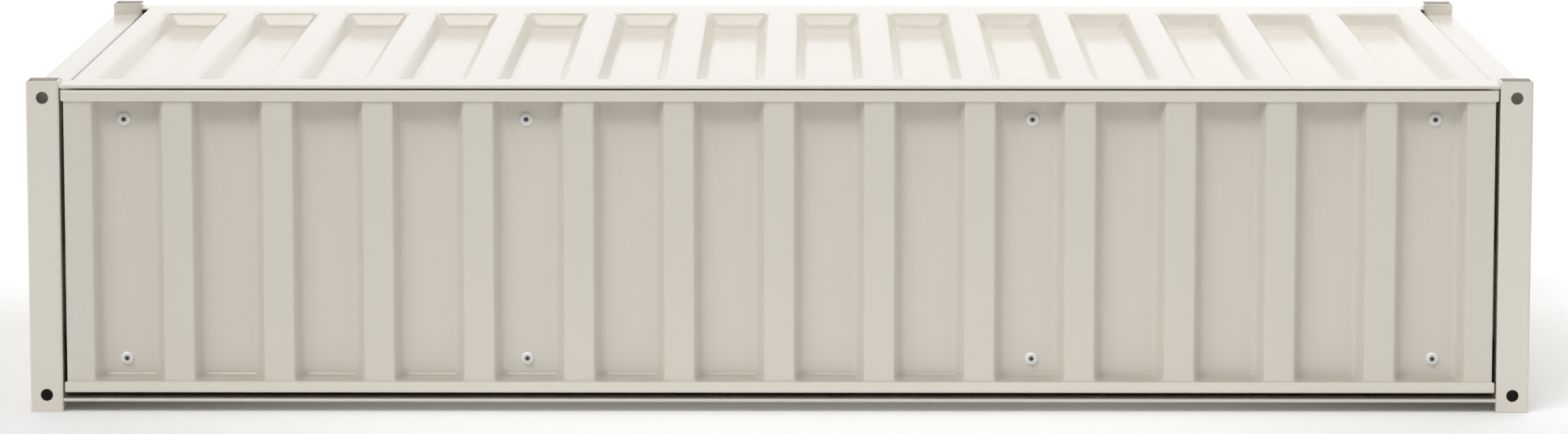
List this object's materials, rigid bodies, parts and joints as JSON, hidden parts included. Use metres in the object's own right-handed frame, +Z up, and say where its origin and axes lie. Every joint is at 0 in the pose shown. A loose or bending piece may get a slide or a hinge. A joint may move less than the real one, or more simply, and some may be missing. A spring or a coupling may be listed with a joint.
{
  "type": "shipping container drawer unit",
  "caption": "Low furniture-size shipping container of pressed and folded sheet steel: open corner posts, ribbed walls and roof, and a wide front drawer on telescopic runners.",
  "frame": {"origin": "centre of the footprint on the floor, under the four posts", "axes": "+X to the right along the length, -Y out of the drawer front, +Z up"},
  "size_m": [1.212, 0.648, 0.269],
  "materials": {
    "outer_paint": "warm grey-white powder coat, satin",
    "inner_paint": "warm grey-white powder coat, satin",
    "runner_zinc": "bright zinc plate"
  },
  "bodies": {
    "cabinet": {"post_front_left": "outer_paint", "post_front_right": "outer_paint", "post_back_left": "outer_paint", "post_back_right": "outer_paint", "roof_panel": "outer_paint", "floor_panel": "outer_paint", "end_wall_left": "outer_paint", "end_wall_right": "outer_paint", "end_top_rail_left": "outer_paint", "end_top_rail_right": "outer_paint", "end_bottom_rail_left": "outer_paint", "end_bottom_rail_right": "outer_paint", "back_wall": "outer_paint", "back_top_rail": "outer_paint", "back_bottom_rail": "outer_paint", "runner_carrier_left": "inner_paint", "runner_carrier_right": "inner_paint", "runner_rail_left": "runner_zinc", "runner_rail_right": "runner_zinc"},
    "drawer": {"front_panel": "outer_paint", "front_top_strip": "outer_paint", "front_bottom_strip": "outer_paint", "front_plate": "inner_paint", "box_side_left": "inner_paint", "box_side_right": "inner_paint", "box_back": "inner_paint", "box_bottom": "inner_paint", "runner_slide_left": "runner_zinc", "runner_slide_right": "runner_zinc"},
    "runner_mid_left": {"runner_mid_left": "runner_zinc"},
    "runner_mid_right": {"runner_mid_right": "runner_zinc"}
  },
  "joints": [
    {"name": "drawer_slide", "type": "slide", "parent": "cabinet", "child": "drawer", "axis": [0, -1, 0], "range_m": [0, 0.5]},
    {"name": "runner_mid_left_slide", "type": "slide", "parent": "cabinet", "child": "runner_mid_left", "axis": [0, -1, 0], "range_m": [0, 0.25]},
    {"name": "runner_mid_right_slide", "type": "slide", "parent": "cabinet", "child": "runner_mid_right", "axis": [0, -1, 0], "range_m": [0, 0.25]}
  ],
  "couplings": [
    {"joint": "runner_mid_left_slide", "follows": "drawer_slide", "ratio": 0.5},
    {"joint": "runner_mid_right_slide", "follows": "drawer_slide", "ratio": 0.5}
  ]
}
